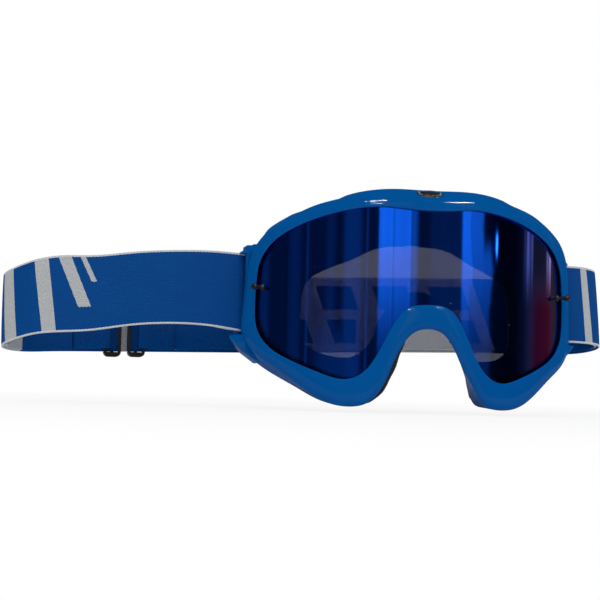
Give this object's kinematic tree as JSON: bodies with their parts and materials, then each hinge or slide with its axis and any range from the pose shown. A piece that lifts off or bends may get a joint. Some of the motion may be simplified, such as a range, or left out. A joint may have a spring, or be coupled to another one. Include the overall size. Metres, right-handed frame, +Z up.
{
  "type": "motorcycle goggles",
  "caption": "Wrap-round riding goggles: moulded frame with a curved tinted lens, layered face foam, and a webbing strap doubled back to a pair of slide adjusters.",
  "frame": {"origin": "middle of the face seal's rear face, at the height of the strap bars' middle", "axes": "+X to the wearer's left along the goggles' width, +Y backwards towards the face, +Z up"},
  "size_m": [0.3157, 0.0968, 0.1088],
  "materials": {
    "frame": "glossy bright blue moulded plastic",
    "lens": "dark lens with a blue mirror coating",
    "black_plastic": "satin black nylon",
    "foam": "black open-cell foam",
    "fleece": "soft dark fleece facing",
    "strap": "woven blue elastic webbing with a white edge"
  },
  "bodies": {
    "goggles": {"frame": "frame", "lens": "lens", "brow_badge": "black_plastic", "tearoff_post_right": "black_plastic", "tearoff_post_left": "black_plastic", "face_foam": "foam", "face_fleece": "fleece", "vent_foam_brow": "foam", "vent_foam_cheek_right": "foam", "vent_foam_cheek_left": "foam", "strap": "strap", "strap_tail_right": "strap", "strap_tail_left": "strap"},
    "adjuster_right": {"strap_adjuster_right": "black_plastic", "strap_end_right": "strap"},
    "adjuster_left": {"strap_adjuster_left": "black_plastic", "strap_end_left": "strap"}
  },
  "joints": [
    {"name": "adjuster_right_slide", "type": "slide", "parent": "goggles", "child": "adjuster_right", "axis": [-0.9998, 0, -0.019], "range_m": [0, 0.015], "deforming": ["strap_tail_right"]},
    {"name": "adjuster_left_slide", "type": "slide", "parent": "goggles", "child": "adjuster_left", "axis": [0.9998, 0, 0.019], "range_m": [0, 0.08], "deforming": ["strap_tail_left"]}
  ]
}
